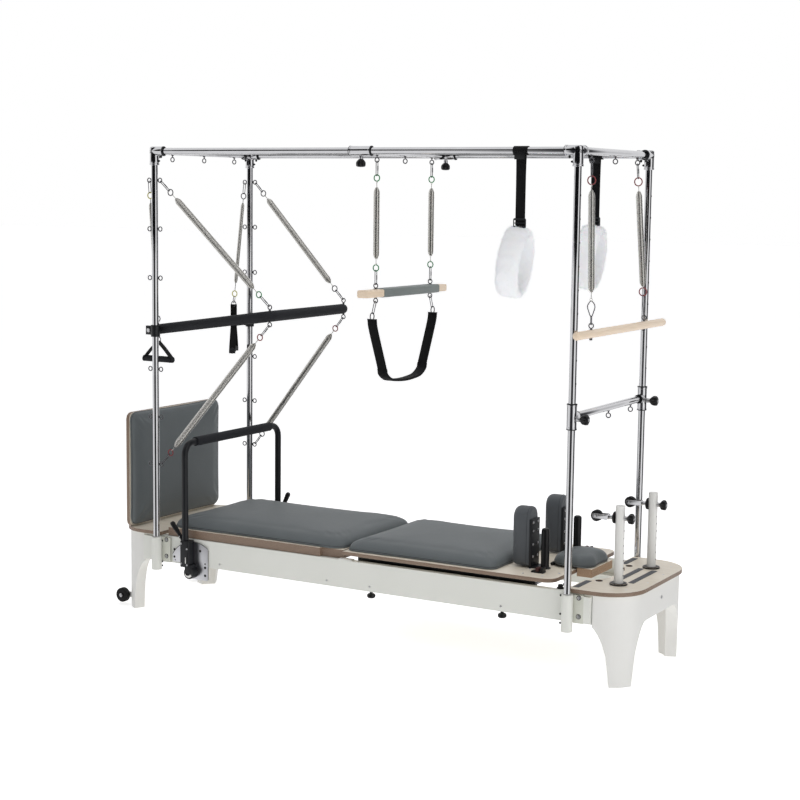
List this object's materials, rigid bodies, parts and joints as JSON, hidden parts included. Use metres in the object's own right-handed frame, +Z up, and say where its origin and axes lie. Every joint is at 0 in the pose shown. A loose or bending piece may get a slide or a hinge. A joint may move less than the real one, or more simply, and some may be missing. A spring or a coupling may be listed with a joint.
{
  "type": "pilates reformer with tower",
  "caption": "Pilates reformer with a sliding carriage, infill mat, jump board, foot bar and a four-post steel tower with springs, trapeze, push-through bar and roll-down bar.",
  "frame": {"origin": "on the floor, under the middle of the whole object's box", "axes": "+X along the bed towards the head end (shoulder rests and rope risers), +Y across to the far side, +Z up"},
  "size_m": [2.5694, 0.9312, 2.0985],
  "materials": {
    "white_powder_coat": "white powder coat, fine satin",
    "white_coated_aluminium": "white powder coat on an aluminium extrusion, fine satin",
    "polished_stainless": "mirror-polished stainless steel",
    "birch_plywood": "clear-lacquered birch plywood with a layered edge",
    "grey_upholstery": "grey synthetic leather, stitched, over foam",
    "black_powder_coat": "black powder coat",
    "black_plastic": "moulded black nylon",
    "black_foam": "closed-cell foam sleeve over steel tube",
    "black_webbing": "woven black webbing",
    "white_fleece": "white fleece on black webbing",
    "maple": "clear-lacquered maple",
    "black_rubber": "moulded rubber tyre"
  },
  "bodies": {
    "base_frame": {"foot_end_unit": "white_powder_coat", "head_end_unit": "white_powder_coat", "rail_near": "white_coated_aluminium", "rail_far": "white_coated_aluminium", "foot_platform": "birch_plywood", "head_platform": "birch_plywood", "spring_cross_member": "white_powder_coat", "upright_near_foot": "polished_stainless", "upright_near_head": "polished_stainless", "upright_far_foot": "polished_stainless", "upright_far_head": "polished_stainless", "top_rail_near": "polished_stainless", "top_rail_far": "polished_stainless", "top_bar_foot": "polished_stainless", "top_bar_head": "polished_stainless"},
    "carriage": {"carriage_deck": "birch_plywood", "carriage_pad": "grey_upholstery", "carriage_beam_near": "black_powder_coat", "carriage_beam_far": "black_powder_coat", "carriage_spring_pack": "polished_stainless"},
    "wheelset_foot": {"carriage_wheelset_foot": "black_plastic"},
    "wheelset_head": {"carriage_wheelset_head": "black_plastic"},
    "shoulder_rest_near": {"shoulder_rest_near": "grey_upholstery"},
    "shoulder_rest_far": {"shoulder_rest_far": "grey_upholstery"},
    "headrest": {"headrest_pad": "grey_upholstery"},
    "headrest_prop": {"headrest_prop": "birch_plywood"},
    "mat": {"infill_base": "birch_plywood", "infill_pad": "grey_upholstery"},
    "jump_board": {"jump_board_back": "birch_plywood", "jump_board_pad": "grey_upholstery"},
    "footbar": {"footbar": "black_powder_coat"},
    "riser_near": {"riser_near": "white_powder_coat"},
    "riser_far": {"riser_far": "white_powder_coat"},
    "riser_pulley_near": {"riser_pulley_near": "black_plastic"},
    "riser_pulley_far": {"riser_pulley_far": "black_plastic"},
    "riser_knob_near": {"riser_knob_near": "black_plastic"},
    "riser_knob_far": {"riser_knob_far": "black_plastic"},
    "transport_wheels": {"transport_wheels": "black_rubber"},
    "push_bar": {"push_bar": "black_foam", "push_spring_near_upper": "polished_stainless", "push_spring_near_lower": "polished_stainless", "push_spring_far_upper": "polished_stainless", "push_spring_far_lower": "polished_stainless"},
    "mid_bar": {"mid_cross_bar": "polished_stainless"},
    "mid_knob_near": {"mid_knob_near": "black_plastic"},
    "mid_knob_far": {"mid_knob_far": "black_plastic"},
    "trapeze": {"trapeze_bar": "maple", "trapeze_spring_near": "polished_stainless", "trapeze_spring_far": "polished_stainless"},
    "foot_sling": {"foot_sling": "black_webbing"},
    "low_bar": {"low_cross_bar": "polished_stainless"},
    "low_knob_near": {"low_knob_near": "black_plastic"},
    "low_knob_far": {"low_knob_far": "black_plastic"},
    "roll_bar": {"roll_down_bar": "maple", "roll_spring_near": "polished_stainless", "roll_spring_far": "polished_stainless"},
    "fleece_loop_near": {"fleece_loop_near": "white_fleece"},
    "fleece_loop_far": {"fleece_loop_far": "white_fleece"},
    "hand_strap_near": {"hand_strap_near": "black_webbing"},
    "hand_strap_far": {"hand_strap_far": "black_webbing"}
  },
  "joints": [
    {"name": "carriage_slide", "type": "slide", "parent": "base_frame", "child": "carriage", "axis": [1, 0, 0], "range_m": [0, 0.03]},
    {"name": "wheelset_foot_roll", "type": "hinge", "parent": "carriage", "child": "wheelset_foot", "pos_m": [0.14, -0.03, 0.3323], "axis": [0, 1, 0], "continuous": true},
    {"name": "wheelset_head_roll", "type": "hinge", "parent": "carriage", "child": "wheelset_head", "pos_m": [0.72, -0.03, 0.3323], "axis": [0, 1, 0], "continuous": true},
    {"name": "shoulder_rest_near_lift", "type": "slide", "parent": "carriage", "child": "shoulder_rest_near", "axis": [0, 0, 1], "range_m": [0, 0.04]},
    {"name": "shoulder_rest_far_lift", "type": "slide", "parent": "carriage", "child": "shoulder_rest_far", "axis": [0, 0, 1], "range_m": [0, 0.04]},
    {"name": "headrest_tilt", "type": "hinge", "parent": "carriage", "child": "headrest", "pos_m": [0.8375, -0.03, 0.411], "axis": [0, -1, 0], "range_deg": [0, 45]},
    {"name": "headrest_prop_fold", "type": "hinge", "parent": "headrest", "child": "headrest_prop", "pos_m": [1.02, -0.03, 0.408], "axis": [0, -1, 0], "range_deg": [0, 45]},
    {"name": "mat_lift", "type": "slide", "parent": "base_frame", "child": "mat", "axis": [0, 0, 1], "range_m": [0, 0.08]},
    {"name": "jump_board_lift", "type": "slide", "parent": "base_frame", "child": "jump_board", "axis": [0, 0, 1], "range_m": [0, 0.05]},
    {"name": "footbar_pivot", "type": "hinge", "parent": "base_frame", "child": "footbar", "pos_m": [-0.8, -0.03, 0.22], "axis": [0, 1, 0], "range_deg": [0, 50]},
    {"name": "riser_near_slide", "type": "slide", "parent": "base_frame", "child": "riser_near", "axis": [0, 0, 1], "range_m": [-0.2, 0.05]},
    {"name": "riser_pulley_near_swivel", "type": "hinge", "parent": "riser_near", "child": "riser_pulley_near", "pos_m": [1.1447, -0.206, 0.65], "axis": [1, 0, 0], "range_deg": [-90, 90]},
    {"name": "riser_knob_near_turn", "type": "hinge", "parent": "riser_near", "child": "riser_knob_near", "pos_m": [1.1833, -0.206, 0.65], "axis": [1, 0, 0], "continuous": true},
    {"name": "riser_far_slide", "type": "slide", "parent": "base_frame", "child": "riser_far", "axis": [0, 0, 1], "range_m": [-0.2, 0.05]},
    {"name": "riser_pulley_far_swivel", "type": "hinge", "parent": "riser_far", "child": "riser_pulley_far", "pos_m": [1.1447, 0.146, 0.65], "axis": [1, 0, 0], "range_deg": [-90, 90]},
    {"name": "riser_knob_far_turn", "type": "hinge", "parent": "riser_far", "child": "riser_knob_far", "pos_m": [1.1833, 0.146, 0.65], "axis": [1, 0, 0], "continuous": true},
    {"name": "transport_wheel_spin", "type": "hinge", "parent": "base_frame", "child": "transport_wheels", "pos_m": [-1.252, -0.03, 0.044], "axis": [0, 1, 0], "continuous": true},
    {"name": "push_bar_pivot", "type": "hinge", "parent": "base_frame", "child": "push_bar", "pos_m": [-1.03, -0.03, 1.291], "axis": [0, -1, 0], "range_deg": [-45, 35], "stiffness_Nm_per_rad": 60, "springref_deg": 11.46, "deforming": ["push_spring_near_upper", "push_spring_near_lower", "push_spring_far_upper", "push_spring_far_lower"]},
    {"name": "mid_bar_slide", "type": "slide", "parent": "base_frame", "child": "mid_bar", "axis": [1, 0, 0], "range_m": [-0.12, 0.45]},
    {"name": "mid_knob_near_turn", "type": "hinge", "parent": "mid_bar", "child": "mid_knob_near", "pos_m": [0.068, -0.393, 2.0572], "axis": [0, 0, 1], "continuous": true},
    {"name": "mid_knob_far_turn", "type": "hinge", "parent": "mid_bar", "child": "mid_knob_far", "pos_m": [0.068, 0.333, 2.0572], "axis": [0, 0, 1], "continuous": true},
    {"name": "trapeze_swing", "type": "hinge", "parent": "mid_bar", "child": "trapeze", "pos_m": [0.068, -0.03, 2.0445], "axis": [0, 1, 0], "range_deg": [-12, 12]},
    {"name": "foot_sling_swing", "type": "hinge", "parent": "trapeze", "child": "foot_sling", "pos_m": [0.068, -0.03, 1.463], "axis": [0, 1, 0], "range_deg": [-12, 12]},
    {"name": "low_bar_slide", "type": "slide", "parent": "base_frame", "child": "low_bar", "axis": [0, 0, 1], "range_m": [-0.3, 0.2]},
    {"name": "low_knob_near_turn", "type": "hinge", "parent": "low_bar", "child": "low_knob_near", "pos_m": [1.0488, -0.393, 1.054], "axis": [1, 0, 0], "continuous": true},
    {"name": "low_knob_far_turn", "type": "hinge", "parent": "low_bar", "child": "low_knob_far", "pos_m": [1.0488, 0.333, 1.054], "axis": [1, 0, 0], "continuous": true},
    {"name": "roll_bar_swing", "type": "hinge", "parent": "base_frame", "child": "roll_bar", "pos_m": [1.028, -0.03, 2.0445], "axis": [0, -1, 0], "range_deg": [0, 25]},
    {"name": "fleece_loop_near_swing", "type": "hinge", "parent": "base_frame", "child": "fleece_loop_near", "pos_m": [0.79, -0.393, 2.078], "axis": [1, 0, 0], "range_deg": [-15, 15]},
    {"name": "fleece_loop_far_swing", "type": "hinge", "parent": "base_frame", "child": "fleece_loop_far", "pos_m": [0.79, 0.333, 2.078], "axis": [1, 0, 0], "range_deg": [-15, 15]},
    {"name": "hand_strap_near_swing", "type": "hinge", "parent": "base_frame", "child": "hand_strap_near", "pos_m": [-1.0175, -0.393, 1.952], "axis": [1, 0, 0], "range_deg": [0, 12]},
    {"name": "hand_strap_far_swing", "type": "hinge", "parent": "base_frame", "child": "hand_strap_far", "pos_m": [-1.0175, 0.333, 1.952], "axis": [-1, 0, 0], "range_deg": [0, 12]}
  ],
  "couplings": [
    {"joint": "wheelset_foot_roll", "follows": "carriage_slide", "rad_per_m": 35.336},
    {"joint": "wheelset_head_roll", "follows": "carriage_slide", "rad_per_m": 35.336}
  ]
}
